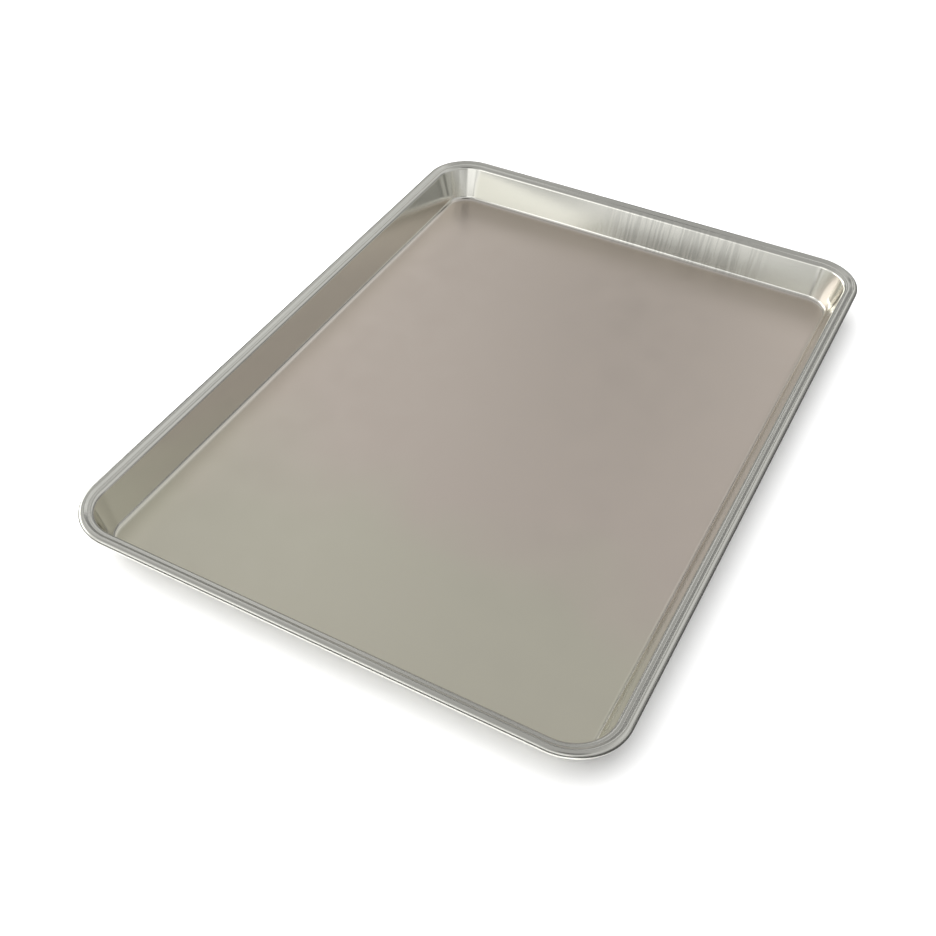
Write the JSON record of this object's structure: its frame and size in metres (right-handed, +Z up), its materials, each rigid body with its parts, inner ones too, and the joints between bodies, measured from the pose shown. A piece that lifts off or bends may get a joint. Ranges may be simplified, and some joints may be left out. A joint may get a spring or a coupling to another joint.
{
  "type": "jelly roll pan",
  "caption": "Shallow rectangular aluminium baking pan with outward leaning walls, rounded corners and a rim rolled over a wire, for sponge sheets.",
  "frame": {"origin": "middle of the flat underside of the floor", "axes": "+X across the pan to the right, +Y along the pan away from the viewer, +Z up out of the pan"},
  "size_m": [0.2844, 0.409, 0.0238],
  "materials": {
    "pan_aluminium": "natural satin, drawn and uncoated",
    "rim_wire_steel": "galvanised"
  },
  "bodies": {
    "root": {"pan_body": "pan_aluminium", "rim_wire": "rim_wire_steel"}
  },
  "joints": []
}
